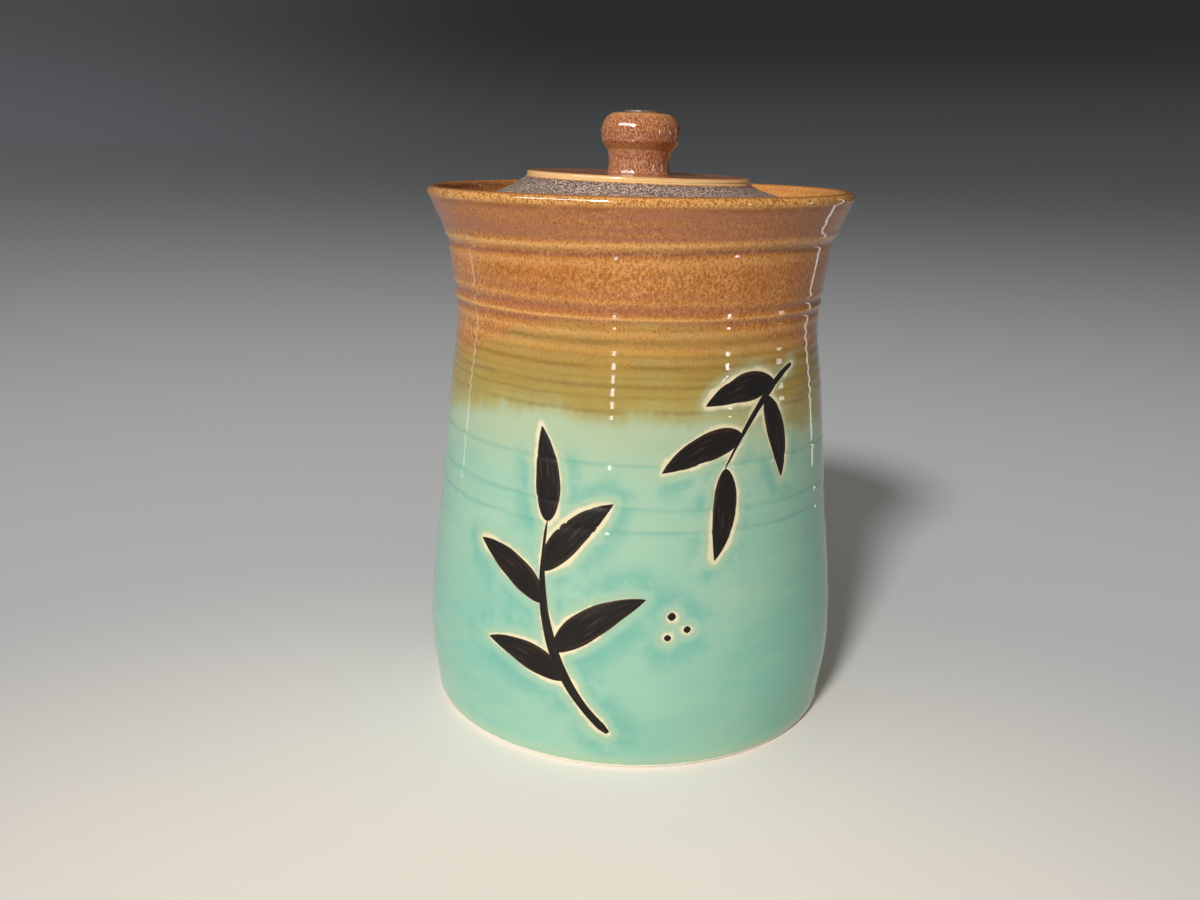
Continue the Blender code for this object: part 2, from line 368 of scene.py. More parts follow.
def smooth_radii(stations, levels):
    """Radii at the levels on a smooth curve through (level, radius) stations that never overshoots them."""
    rises = [steepness(low, high) for low, high in zip(stations, stations[1:])]
    slopes = [rises[0]]
    for below, above in zip(rises, rises[1:]):
        slopes.append(0 if below * above <= 0 else 2 * below * above / (below + above))
    slopes = np.array([*slopes, rises[-1]])
    places, radii = np.array(stations).T
    index = np.clip(np.searchsorted(places, levels) - 1, 0, len(stations) - 2)
    span = places[index + 1] - places[index]
    t = (levels - places[index]) / span
    lower = (1 + 2 * t) * (1 - t) ** 2 * radii[index] + t * (1 - t) ** 2 * span * slopes[index]
    upper = t**2 * (3 - 2 * t) * radii[index + 1] + t**2 * (t - 1) * span * slopes[index + 1]
    return lower + upper


def wall_radii(sizes, levels):
    """Smooth outer radii of the vessel at the levels, before any throwing mark."""
    levels = np.asarray(levels, float)
    names = ("heel", "belly", "middle", "shoulder", "waist", "collar", "flare_foot")
    stations = [(getattr(sizes, f"{name}_level"), getattr(sizes, f"{name}_radius")) for name in names]
    flare_level, flare_radius = stations[-1]
    wall = smooth_radii(stations, np.minimum(levels, flare_level))
    share = (levels - flare_level) / (sizes.rim_level - flare_level)
    flare = flare_radius + share * (sizes.rim_radius - flare_radius)
    return np.where(levels <= flare_level, wall, flare)


def bump_at(levels, centre, half_width):
    return np.exp(-(((levels - centre) / half_width) ** 2))


def window(levels, low, high, soft):
    """Rises softly from 0 above low and falls back to 0 below high."""
    rise = np.clip((levels - low) / soft, 0, 1)
    fall = np.clip((high - levels) / soft, 0, 1)
    return (rise * rise * (3 - 2 * rise)) * (fall * fall * (3 - 2 * fall))


def relief(angles, levels):
    """How far the throwing marks stand out of the smooth wall, in metres as the levels are."""
    side, levels = np.sin(angles), levels / MM
    raised = np.zeros_like(levels)
    for level, tilt, half_width, height in (*RIDGES, *GROOVES, *PALE_GROOVES):
        raised += height * bump_at(levels, level + tilt * side, half_width)
    for low, high, pitch, height in FINGER_BANDS:
        turns = (levels - FINGER_TILT * side) / pitch
        raised += height * np.sin(math.tau * turns) * window(levels, low, high, pitch)
    return raised * MM


def wobble(point):
    """Slow unevenness of the hand-thrown wall, never outwards of the smooth form."""
    return WOBBLE * (noise.noise(Vector(point) * WOBBLE_SCALE) - 1) / 2


def arc(centre, radii, angles, steps):
    turns = np.linspace(math.radians(angles[0]), math.radians(angles[1]), steps + 1)
    return [(centre[0] + radii[0] * math.cos(a), centre[1] + radii[1] * math.sin(a)) for a in turns]


def straight(start, end, steps):
    """Points of a straight line from start to end, without start."""
    shares = [step / steps for step in range(1, steps + 1)]
    return [tuple(a + (b - a) * share for a, b in zip(start, end)) for share in shares]


def bend(start, corner, end, steps):
    """Points of a smooth bend from start to end along the lines to corner, without start."""
    points = []
    for t in np.linspace(0, 1, steps + 1)[1:]:
        weights = ((1 - t) ** 2, 2 * t * (1 - t), t**2)
        points.append(tuple(sum(w * p[i] for w, p in zip(weights, (start, corner, end))) for i in (0, 1)))
    return points


def wall_levels(sizes):
    """Levels of the mesh rows up the wall, close together where the throwing marks are."""
    levels = []
    ends = [start for start, _ in ROW_STEPS[1:]] + [sizes.rim_level / MM]
    for (start, step), end in zip(ROW_STEPS, ends):
        count = max(1, round((end - start) / step))
        levels += [(start + (end - start) * row / count) * MM for row in range(count)]
    return levels


def turn_round(shape, chain, segments, span=math.tau, start=0.0):
    """Spins a chain of (radius, level) points about Z in one or two sectors and closes the seam."""
    corners = [shape.verts.new((r * math.sin(start), -r * math.cos(start), z)) for r, z in chain]
    edges = [shape.edges.new(pair) for pair in zip(corners, corners[1:])]
    around = {"cent": (0, 0, 0), "axis": (0, 0, 1)}
    if isinstance(segments, int):
        bmesh.ops.spin(shape, geom=corners + edges, angle=math.tau, steps=segments, use_merge=True, **around)
    else:
        first = bmesh.ops.spin(shape, geom=corners + edges, angle=span, steps=segments[0], **around)
        bmesh.ops.spin(shape, geom=first["geom_last"], angle=math.tau - span, steps=segments[1], **around)
    bmesh.ops.remove_doubles(shape, verts=shape.verts, dist=WELD)
    bmesh.ops.recalc_face_normals(shape, faces=shape.faces)


def finish_piece(shape, name, material, body, nodes):
    """Turns a bmesh into a smooth-shaded piece that rides on a body and stands for its solid."""
    mesh = bpy.data.meshes.new(name)
    shape.to_mesh(mesh)
    shape.free()
    mesh.shade_smooth()
    mesh.set_sharp_from_angle(angle=SMOOTH_ANGLE)
    mesh.materials.append(material)
    piece = bpy.data.objects.new(name, mesh)
    bpy.context.scene.collection.objects.link(piece)
    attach(piece, body)
    if nodes:
        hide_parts(*nodes)
    return piece


def vessel_chain(sizes):
    """Outline of the vessel from the middle of the foot, up the outside, over the lip and down to the floor.

    Returns the points, and where the outside starts and ends and the ledge ends among them.
    """
    foot_inner = sizes.foot_radius - sizes.foot_ring
    recess_start = foot_inner - sizes.foot_recess
    chain = [(0, sizes.foot_recess)]
    chain += straight(chain[0], (recess_start, sizes.foot_recess), 5)
    chain += bend(chain[-1], (foot_inner, sizes.foot_recess), (foot_inner, 0), 4)
    chain += straight(chain[-1], (sizes.foot_radius, 0), 2)
    start = len(chain)
    heel = (sizes.heel_radius - sizes.foot_radius, sizes.heel_level)
    chain += arc((sizes.foot_radius, sizes.heel_level), heel, (-90, 0), 8)[1:-1]
    levels = wall_levels(sizes)
    chain += list(zip(wall_radii(sizes, levels).tolist(), levels))
    half_lip = sizes.lip_wall / 2
    lip_round = (half_lip, sizes.height - sizes.rim_level)
    lip = arc((sizes.rim_radius - half_lip, sizes.rim_level), lip_round, (0, 180), LIP_STEPS)
    last = len(chain) + LIP_STEPS // 2 + 1
    chain += lip
    ledge_level = sizes.height - sizes.ledge_depth
    ledge_radius = float(wall_radii(sizes, ledge_level)) - sizes.flare_wall
    mouth_radius = ledge_radius - sizes.ledge_width
    corner = 1.2 * MM
    chain += straight(chain[-1], (ledge_radius + corner / 2, ledge_level + corner), 8)
    chain += bend(chain[-1], (ledge_radius, ledge_level), (ledge_radius - corner, ledge_level), 4)
    nose = sizes.ledge_thickness / 2
    chain += straight(chain[-1], (mouth_radius + nose, ledge_level), 4)
    ledge_end = len(chain)
    chain += arc((mouth_radius + nose, ledge_level - nose), (nose, nose), (90, 180), 6)[1:]
    chain += straight(chain[-1], (mouth_radius, ledge_level - sizes.ledge_thickness), 2)
    brace_level = ledge_level - sizes.ledge_thickness - sizes.ledge_brace
    chain += straight(chain[-1], (float(wall_radii(sizes, brace_level)) - sizes.wall, brace_level), 5)
    bottom = sizes.floor_level + sizes.floor_fillet
    levels = np.linspace(brace_level, bottom, 58)[1:]
    inner = wall_radii(sizes, levels) - sizes.wall
    chain += list(zip(inner.tolist(), levels.tolist()))
    fillet = (sizes.floor_fillet, sizes.floor_fillet)
    chain += arc((chain[-1][0] - sizes.floor_fillet, bottom), fillet, (0, -90), 8)[1:]
    chain += straight(chain[-1], (0, sizes.floor_level), 6)
    return chain, (start, last, ledge_end)


def angle_of(x, y):
    """Angle round the jar from its front, growing towards +X."""
    return math.atan2(x, -y)


def widen(corner, scale):
    corner.co.x *= scale
    corner.co.y *= scale


def on_wall(sizes, angles, levels, lifts):
    """Points on the finished outer wall, lifted off it by a little."""
    angles, levels = np.asarray(angles, float), np.asarray(levels, float)
    smooth = wall_radii(sizes, levels) + relief(angles, levels)
    points = []
    for angle, level, radius, lift in zip(angles, levels, smooth, lifts):
        flat = (radius * math.sin(angle), -radius * math.cos(angle), level)
        scale = (radius + wobble(flat) + lift) / radius
        points.append(Vector((flat[0] * scale, flat[1] * scale, level)))
    return points


class Stroke:
    """One brush stroke: a bent centre line on the wall's unrolled plane with a width along it."""

    def __init__(self, start, corner, end, widest, tips=(0.0, 0.0), peak=0.40):
        self.points = [Vector(point) * MM for point in (start, corner, end)]
        self.widest = widest * MM
        self.tips = tips
        self.peak = peak

    def centre(self, t):
        a, b, c = self.points
        return a * (1 - t) ** 2 + b * 2 * t * (1 - t) + c * t**2

    def along(self, t):
        a, b, c = self.points
        return ((b - a) * (1 - t) + (c - b) * t).normalized()

    def half_width(self, t):
        """Half the stroke's width: it swells to its widest at the peak and runs out to a point."""
        foot, tip = 1.5 * self.peak, 1.5 * (1 - self.peak)
        blade = max(t, 0) ** foot * max(1 - t, 0) ** tip
        blade /= self.peak**foot * (1 - self.peak) ** tip
        ends = (self.tips[0] * (1 - t) + self.tips[1] * t) * min(1, 12 * t + 0.5, 12 * (1 - t) + 0.5)
        start, _, end = self.points
        hand = 1 + HAND_SHARE * noise.noise(Vector((start.x * HAND_SCALE, end.y * HAND_SCALE, 5 * t)))
        return self.widest / 2 * max(blade * hand, ends)

    def size(self):
        return sum((self.centre((i + 1) / 8) - self.centre(i / 8)).length for i in range(8))


def leaf(foot, direction, size, width, curl):
    """Leaf stroke from its foot, in a direction in degrees, curling sideways by a share of its size."""
    turn = math.radians(direction)
    ahead = Vector((math.cos(turn), math.sin(turn)))
    aside = Vector((-ahead.y, ahead.x))
    foot = Vector(foot)
    return Stroke(foot, foot + ahead * size / 2 + aside * size * curl, foot + ahead * size, width)


def spray(stem, stem_width, tips, leaves):
    """A stem and the leaves along it, each as (share of the stem, direction, size, width, curl)."""
    strokes = [Stroke(*stem, stem_width, tips=tips)]
    for share, *about in leaves:
        strokes.append(leaf(strokes[0].centre(share) / MM, *about))
    return strokes


def berry(place, size):
    x, y = place
    return Stroke((x - size / 2, y), (x, y), (x + size / 2, y), size, peak=0.5)


RISING_SPRAY = spray(
    ((-7, 17), (-40, 50), (-34, 100)),
    4.2,
    (0.9, 0.28),
    (
        (0.30, 164, 36, 11.5, -0.14),
        (0.44, 34, 42, 12.5, 0.14),
        (0.66, 150, 38, 12.0, -0.14),
        (0.80, 46, 40, 12.0, 0.12),
        (1.00, 97, 37, 11.5, -0.08),
    ),
)
HANGING_SPRAY = spray(
    ((77, 158), (56, 152), (38, 122)),
    3.0,
    (0.8, 0.35),
    (
        (0.30, 190, 36, 11.0, -0.14),
        (0.45, 284, 34, 11.0, 0.14),
        (0.78, 200, 37, 11.5, -0.12),
        (1.00, 262, 36, 11.0, 0.10),
    ),
)
BERRIES = [berry((16, 66), 3.4), berry((22, 60.5), 3.0), berry((14.5, 57.5), 2.8)]
PAINTING = {"leaf_spray_rising": RISING_SPRAY, "leaf_spray_hanging": HANGING_SPRAY, "berries": BERRIES}


def gap_to_strokes(angles, levels):
    """Distance on the wall from each place to the nearest painted stroke, negative inside one."""
    round_wall = angles * PAINT_RADIUS
    gaps = np.full(angles.shape, FAR_GAP)
    for stroke in (*RISING_SPRAY, *HANGING_SPRAY, *BERRIES):
        for t in np.linspace(0, 1, 33):
            centre, half = stroke.centre(t), stroke.half_width(t)
            gaps = np.minimum(gaps, np.hypot(round_wall - centre.x, levels - centre.y) - half)
    return gaps


def throw_vessel(sizes, material):
    chain, (first, last, nose) = vessel_chain(sizes)
    shape = bmesh.new()
    place = shape.verts.layers.float.new("place")
    turn_round(shape, chain, (FRONT_STEPS, BACK_STEPS), FRONT_SPAN, -FRONT_SPAN / 2)
    rows = {(round(r / WELD), round(z / WELD)): row for row, (r, z) in enumerate(chain)}
    steps = [(i, j) for i in (0, 1, -1) for j in (0, 1, -1)]
    for corner in shape.verts:
        out, up = round(corner.co.xy.length / WELD), round(corner.co.z / WELD)
        corner[place] = next(rows[out + i, up + j] for i, j in steps if (out + i, up + j) in rows)
    map_vessel(shape, place, first, last, len(chain))
    outer = [corner for corner in shape.verts if first <= corner[place] < last]
    angles = np.array([angle_of(corner.co.x, corner.co.y) for corner in outer])
    levels = np.array([corner.co.z for corner in outer])
    marks = relief(angles, levels) * window(levels, sizes.heel_level / 2, sizes.height, 2 * MM)
    for corner, mark in zip(outer, marks.tolist()):
        radius = corner.co.xy.length
        widen(corner, (radius + mark + wobble(corner.co)) / radius)
    piece = finish_piece(shape, "jar_body_thrown", material, "jar", ("jar_body",))
    add_glaze_guides(piece.data, first, last, nose)


def map_vessel(shape, place, first, last, count):
    """Unwraps the outside in two strips, front and back, and the inside in a narrow band, for baking."""
    layer = shape.loops.layers.uv.new("OFBake")
    half = FRONT_SPAN / 2
    for face in shape.faces:
        centre = face.calc_center_median()
        middle = angle_of(centre.x, centre.y)
        rows = [corner[place] for corner in face.verts]
        outer, under = first <= min(rows) and max(rows) < last, max(rows) <= first
        for loop in face.loops:
            corner, row = loop.vert, loop.vert[place]
            angle = middle if corner.co.xy.length < WELD else angle_of(corner.co.x, corner.co.y)
            angle += math.tau * round((middle - angle) / math.tau)
            if outer:
                along, bottom, top = (row - first) / (last - 1 - first), 1 - OUTER_MAP_SHARE, 1.0
                if abs(middle) < half:
                    across, low, high = (angle + half) / FRONT_SPAN, 0.0, FRONT_MAP_SHARE
                else:
                    across, low, high = (angle - half) % math.tau / BACK_SPAN, FRONT_MAP_SHARE, 1.0
            else:
                across, bottom, top = (angle + math.pi) / math.tau, 0.0, 1 - OUTER_MAP_SHARE
                if under:
                    along, low, high = row / first, 0.0, FOOT_MAP_SHARE
                else:
                    along, low, high = (row - last + 1) / (count - last), FOOT_MAP_SHARE, 1.0
            u, v = low + (high - low) * along, bottom + (top - bottom) * across
            loop[layer].uv = (
                min(max(u, low + MAP_MARGIN), high - MAP_MARGIN),
                min(max(v, bottom + MAP_MARGIN), top - MAP_MARGIN),
            )


def add_glaze_guides(mesh, first, last, nose):
    """Stores what the glaze reads at each corner: leaf_gap and clay_side.

    leaf_gap is the distance to the painting, in millimetres. clay_side is 0 outside, 1 inside the flare and
    2 under the ledge, where the liner glaze is.
    """
    corners = np.empty(len(mesh.vertices) * 3)
    mesh.vertices.foreach_get("co", corners)
    x, y, levels = corners.reshape(-1, 3).T
    rows = np.empty(len(mesh.vertices), np.float32)
    mesh.attributes["place"].data.foreach_get("value", rows)
    gaps = np.where((rows >= first) & (rows < last), gap_to_strokes(np.arctan2(x, -y), levels), FAR_GAP)
    sides = (rows >= last).astype(np.float32) + (rows > nose)
    for name, values in (("leaf_gap", gaps / MM), ("clay_side", sides)):
        mesh.attributes.new(name, "FLOAT", "POINT").data.foreach_set("value", values.astype(np.float32))
    mesh.attributes.remove(mesh.attributes["place"])


def paint_stroke(shape, brush, sizes, stroke):
    """One stroke as a thin raised patch that follows the wall."""
    size = stroke.size()
    steps = max(12, round(size / STROKE_STEP))
    corners = bmesh.ops.create_grid(shape, x_segments=steps, y_segments=STROKE_ROWS, size=0.5)["verts"]
    ts = np.array([corner.co.x + 0.5 for corner in corners])
    vs = np.array([2 * corner.co.y for corner in corners])
    places = []
    for t, v in zip(ts, vs):
        along = stroke.along(t)
        aside = Vector((-along.y, along.x))
        places.append(stroke.centre(t) + aside * v * stroke.half_width(t))
    body = np.array([min(1, stroke.half_width(t) / MM + 0.3) for t in ts])
    lifts = STROKE_LIFT * (1 - vs**4) * body - STROKE_SINK
    angles = [place.x / PAINT_RADIUS for place in places]
    points = on_wall(sizes, angles, [place.y for place in places], lifts)
    faces = {face for corner in corners for face in corner.link_faces}
    for corner, point, t, v in zip(corners, points, ts, vs):
        corner.co = point
        for loop in corner.link_loops:
            loop[brush].uv = (t * size / MM, v)
    bmesh.ops.remove_doubles(shape, verts=corners, dist=WELD)
    faces = [face for face in faces if face.is_valid]
    for face in faces:
        centre = face.calc_center_median()
        if face.normal.dot(Vector((centre.x, centre.y, 0))) < 0:
            face.normal_flip()
    bmesh.ops.solidify(shape, geom=faces, thickness=STROKE_THICKNESS)


def paint_sprays(sizes, material):
    for name, strokes in PAINTING.items():
        shape = bmesh.new()
        brush = shape.loops.layers.uv.new("brush")
        for stroke in strokes:
            paint_stroke(shape, brush, sizes, stroke)
        bmesh.ops.recalc_face_normals(shape, faces=shape.faces)
        finish_piece(shape, name, material, "jar", ())


def lid_chain(sizes):
    """Outline of the lid from the knob's socket, over the disc and the skirt and back under the hollow."""
    seat, top, radius = LID_LOW.z, LID_HIGH.z, LID_HIGH.x
    socket, socket_floor = sizes.socket_radius, KNOB_LOW.z - 0.3 * MM
    chain = [(0, socket_floor), (socket, socket_floor), (socket, top - 0.15 * MM)]
    chain.append((socket + 0.6 * MM, top - 0.05 * MM))
    dish, dish_level = sizes.dish_radius, top - sizes.dish_depth
    edge, crest = sizes.disc_edge, sizes.disc_radius - sizes.disc_edge
    chain += straight(chain[-1], (dish, dish_level), 14)
    chain += bend(chain[-1], (dish + 4 * MM, dish_level), (crest, top), 5)
    chain += arc((crest, top - edge), (edge, edge), (90, -30), 10)[1:]
    brim, brim_top = sizes.brim, seat + 2 * sizes.brim
    hip = (chain[-1][0] + 4.0 * MM, chain[-1][1] - 4.9 * MM)
    chain += bend(chain[-1], hip, (radius - 4.5 * MM, brim_top), 32)
    chain += straight(chain[-1], (radius - brim, brim_top), 2)
    chain += arc((radius - brim, seat + brim), (brim, brim), (90, -90), 12)[1:]
    inner = radius - sizes.seat_width
    hollow, hollow_level = sizes.hollow_radius, seat + sizes.hollow_depth
    chain += straight(chain[-1], (inner, seat), 4)
    chain += bend(chain[-1], (inner - 0.4 * (inner - hollow), hollow_level), (hollow, hollow_level), 14)
    return chain + straight(chain[-1], (0, hollow_level), 6)


def throw_lid(sizes, material):
    """The lid's disc, skirt, brim and hollow underside, from the size and place of its solid."""
    seat, radius = LID_LOW.z, LID_HIGH.x
    brim_top = seat + 2 * sizes.brim
    shape = bmesh.new()
    turn_round(shape, lid_chain(sizes), LID_STEPS)
    for corner in shape.verts:
        outwards = corner.co.xy.length / radius
        if outwards > 0.2:
            uneven = LID_WOBBLE * (noise.noise(corner.co * LID_WOBBLE_SCALE) - 1)
            corner.co.z += uneven * outwards * above_brim(corner.co.z, brim_top)
        lean(corner, above_brim(corner.co.z, brim_top))
    under = shape.verts.layers.float.new("clay_side")
    shape.normal_update()
    hollow_edge = radius - sizes.seat_width + 0.1 * MM
    hollow_top = seat + sizes.hollow_depth + 0.7 * MM
    for corner in shape.verts:
        inner = corner.co.xy.length < hollow_edge and corner.co.z < hollow_top
        corner[under] = 1.0 if inner and corner.normal.z < 0 else 0.0
    finish_piece(shape, "lid_thrown", material, "lid", ("lid",))


def above_brim(level, brim_top):
    """Rises from 0 at the brim's top to 1 at the disc."""
    share = min(max((level - brim_top) / SKIRT_RISE, 0), 1)
    return share * share * (3 - 2 * share)


def lean(corner, share):
    """Leans a corner of the lid to the right and moves it to the left, by a share of the whole."""
    turn = math.sin(LID_LEAN * share)
    across, up = corner.co.x, corner.co.z - LID_HIGH.z
    corner.co.x += up * turn - LID_SHIFT * share
    corner.co.z -= across * turn


def knob_chain(sizes):
    """Outline of the knob from the middle of its foot, up the waist and the bulb, over the top button."""
    low, high, disc = KNOB_LOW.z, KNOB_HIGH.z, LID_HIGH.z
    bulb = disc + BULB_RISE
    stations = [(disc + rise * MM, radius * MM) for rise, radius in KNOB_WAIST] + [(bulb, sizes.bulb_radius)]
    levels = np.linspace(stations[0][0], bulb, 34)
    radii = smooth_radii(stations, levels) - NECK_GROOVE * bump_at(levels, disc + NECK_RISE, NECK_WIDTH)
    waist = list(zip(radii.tolist(), levels.tolist()))
    foot, foot_top, fillet = sizes.knob_foot, disc - 0.1 * MM, 0.2 * MM
    chain = [(0, low), (foot, low), (foot, foot_top)]
    chain += bend((foot + fillet, foot_top), (foot - fillet, disc + fillet), waist[0], 5)
    chain += waist[1:]
    top, shoulder, button = high - 1.1 * MM, 10.4 * MM, sizes.button_radius
    chain += arc((shoulder, bulb), (sizes.bulb_radius - shoulder, top - bulb), (0, 90), 18)[1:]
    chain += bend(chain[-1], (button, top), (button - 0.2 * MM, top + 0.3 * MM), 3)
    chain += arc((button - 0.8 * MM, high - 0.6 * MM), (0.5 * MM, 0.55 * MM), (0, 90), 5)
    return chain + straight(chain[-1], (0, high - 0.35 * MM), 6)


def throw_knob(sizes, material):
    """The knob's waist, bulb and top button, from the size and place of its solid."""
    shape = bmesh.new()
    turn_round(shape, knob_chain(sizes), KNOB_STEPS)
    for corner in shape.verts:
        if corner.co.z > LID_HIGH.z + 1 * MM:
            widen(corner, 1 + KNOB_SWELL * (noise.noise(corner.co * KNOB_SWELL_SCALE) - 0.5))
            corner.co.z -= KNOB_DROP
        lean(corner, 1)
    finish_piece(shape, "lid_knob_thrown", material, "lid", ("lid_knob",))


class Wire:
    """Output of a shader node. Python arithmetic on it adds Math nodes."""

    def __init__(self, nodes, socket):
        self.nodes, self.socket = nodes, socket

    def maths(self, operation, *values, clamp=False):
        inputs = dict(enumerate((self, *values)))
        return self.nodes.add("ShaderNodeMath", {"operation": operation, "use_clamp": clamp}, inputs)

    def __add__(self, other):
        return self.maths("ADD", other)

    def __sub__(self, other):
        return self.maths("SUBTRACT", other)

    def __mul__(self, other):
        return self.maths("MULTIPLY", other)

    def __truediv__(self, other):
        return self.maths("DIVIDE", other)

    def __rsub__(self, other):
        return self.nodes.add("ShaderNodeMath", {"operation": "SUBTRACT"}, {0: other, 1: self})

    __radd__ = __add__
    __rmul__ = __mul__

    def least(self, other):
        return self.maths("MINIMUM", other)

    def most(self, other):
        return self.maths("MAXIMUM", other)

    def swing(self, reach):
        """Noise from 0 to 1 turned into a swing about 0."""
        return (self - 0.5) * reach

    def above(self, floor, gain):
        """How far the value is above the floor, times the gain, from 0 to 1."""
        return (self - floor).maths("MULTIPLY", gain, clamp=True)

    def below(self, ceiling, gain):
        """How far the value is below the ceiling, times the gain, from 0 to 1."""
        return (ceiling - self).maths("MULTIPLY", gain, clamp=True)

    def rising(self, low, high):
        """Rises smoothly from 0 at low to 1 at high."""
        settings = {"interpolation_type": "SMOOTHSTEP"}
        return self.nodes.add("ShaderNodeMapRange", settings, {0: self, 1: low, 2: high})

    def falling(self, low, high):
        """Falls smoothly from 1 at low to 0 at high."""
        return 1 - self.rising(low, high)


class Nodes:
    """A node tree in the making."""

    def __init__(self, tree):
        self.tree = tree

    def put(self, socket, value):
        if isinstance(value, Wire):
            self.tree.links.new(value.socket, socket)
        elif socket.type == "RGBA" and len(value) == 3:
            socket.default_value = (*value, 1)
        else:
            socket.default_value = value

    def add(self, kind, settings=None, inputs=None, output=0):
        """Any shader node, with its settings first and then the values or wires of its sockets."""
        node = self.tree.nodes.new(kind)
        for name, value in (settings or {}).items():
            setattr(node, name, value)
        for key, value in (inputs or {}).items():
            self.put(node.inputs[key], value)
        return Wire(self, node.outputs[output])

    def part(self, vector, name):
        """The X, Y or Z of a vector."""
        return self.add("ShaderNodeSeparateXYZ", None, {0: vector}, output=name)

    def vectors(self, operation, first, second):
        return self.add("ShaderNodeVectorMath", {"operation": operation}, {0: first, 1: second}, "Value")

    def mix(self, first, second, share):
        """The second tint over the first. The node itself keeps the share from 0 to 1."""
        return self.add("ShaderNodeMix", {"data_type": "RGBA"}, {0: share, 6: first, 7: second}, output=2)

    def coats(self, tint, *layers):
        """Lays (tint, share) layers over a first tint, one after the other."""
        for layer, share in layers:
            tint = self.mix(tint, layer, share)
        return tint


class Finish(Nodes):
    """A material in the making. Its lengths are in millimetres."""

    def __init__(self, name, **surface):
        self.material = bpy.data.materials.new(name)
        self.material.use_nodes = True
        super().__init__(self.material.node_tree)
        self.surface = self.tree.nodes["Principled BSDF"]
        self.dress(surface)
        self.place = self.add("ShaderNodeTexCoord", output="Object")

    def dress(self, surface):
        for socket, value in surface.items():
            self.put(self.surface.inputs[socket.replace("_", " ")], value)

    def level(self):
        return self.part(self.place, "Z") / MM

    def round_axis(self, aside=0.0):
        """The share towards +X of the direction from the axis, the share from the front, and the radius.

        The axis stands aside towards -X by the given length.
        """
        x, y = self.part(self.place, "X") / MM + aside, self.part(self.place, "Y") / MM
        radius = (x * x + y * y).maths("SQRT")
        return x / radius, y / radius + 1, radius

    def guide(self, name):
        return self.add("ShaderNodeAttribute", {"attribute_name": name}, output="Fac")

    def clouds(self, size, detail=2, rough=0.5, stretch=None):
        """Noise from 0 to 1 whose patches are about size across, and longer where the stretch is below 1."""
        place = self.place
        if stretch:
            place = self.add("ShaderNodeMapping", None, {"Vector": place, "Scale": stretch})
        inputs = {"Vector": place, "Scale": 1 / (size * MM), "Detail": detail, "Roughness": rough}
        return self.add("ShaderNodeTexNoise", None, inputs)

    def specks(self, spacing, radius, share):
        """Round specks in a share of the cells, 1 inside each speck."""
        inputs = {"Vector": self.place, "Scale": 1 / (spacing * MM), "Randomness": 1.0}
        cells = self.add("ShaderNodeTexVoronoi", None, inputs, output="Distance")
        tints = Wire(self, cells.socket.node.outputs["Color"])
        pick = self.add("ShaderNodeSeparateColor", None, {0: tints})
        return cells.falling(radius / spacing * 0.6, radius / spacing) * pick.above(1 - share, 25)

    def band(self, level, centre, half_width):
        """1 on a ring round the piece, fading to 0 beside it."""
        off = (level - centre) / half_width
        return (off * off * -1.0).maths("EXPONENT")

    def bands(self, level, side, table):
        """The rings of one of the tables of bands."""
        total = 0.0
        for centre, tilt, half_width, strength, fade in table:
            ring = self.band(level - side * tilt, centre, half_width)
            total = ring * ((side + 1) * (-fade * strength / 2) + strength) + total
        return total.least(1.0)

    def bump(self, height, depth, below=None):
        inputs = {"Strength": 1.0, "Distance": depth * MM, "Height": height}
        if below:
            inputs["Normal"] = below
        return self.add("ShaderNodeBump", None, inputs)

    def done(self, tint, **surface):
        self.dress({"Base Color": tint, **surface})
        return self.material


